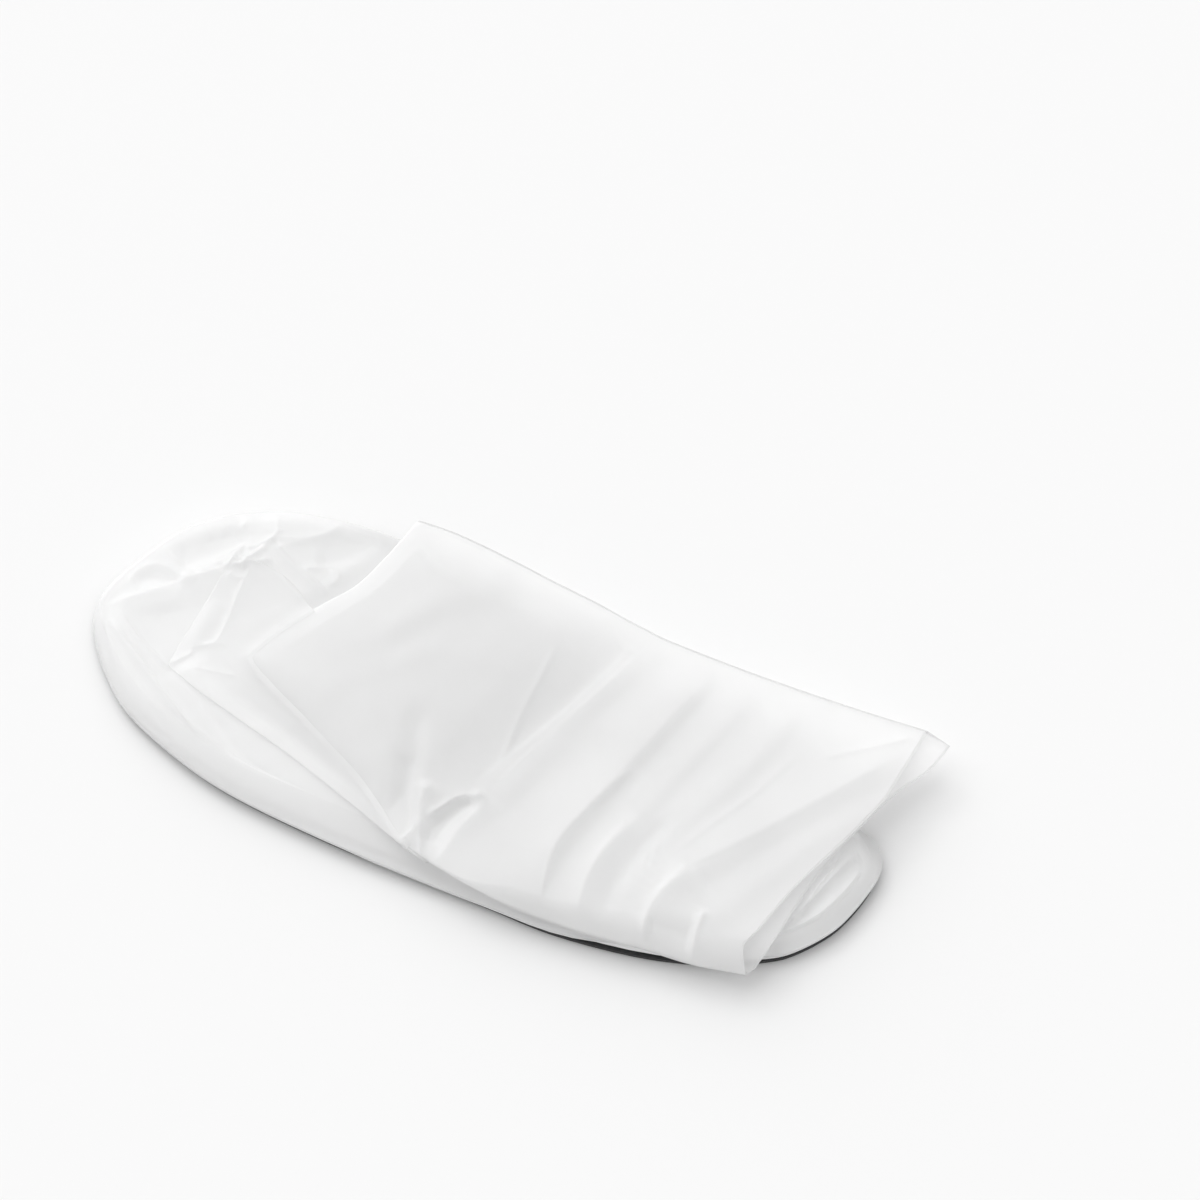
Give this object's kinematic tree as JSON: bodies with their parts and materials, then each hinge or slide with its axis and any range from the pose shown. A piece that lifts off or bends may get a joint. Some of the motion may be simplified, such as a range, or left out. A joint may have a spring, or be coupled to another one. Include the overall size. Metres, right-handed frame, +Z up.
{
  "type": "overshoe",
  "caption": "Boot overshoe with a ribbed black sole, a footbed, a foot of frosted film and a long film shaft folded flat over it.",
  "frame": {"origin": "centre of the bounding box, at the level of the floor under the sole", "axes": "-X to the toe, +X to the heel, -Y to the outer side of the foot, +Z up from the sole"},
  "size_m": [0.2984, 0.1278, 0.021],
  "materials": {
    "sole_rubber": "moulded, matt with a soft sheen",
    "footbed_white": "smooth white sheet",
    "film_frosted": "thin frosted film that lets light through"
  },
  "bodies": {
    "root": {"outsole": "sole_rubber", "footbed": "footbed_white", "foot_upper": "film_frosted", "shaft": "film_frosted"}
  },
  "joints": []
}
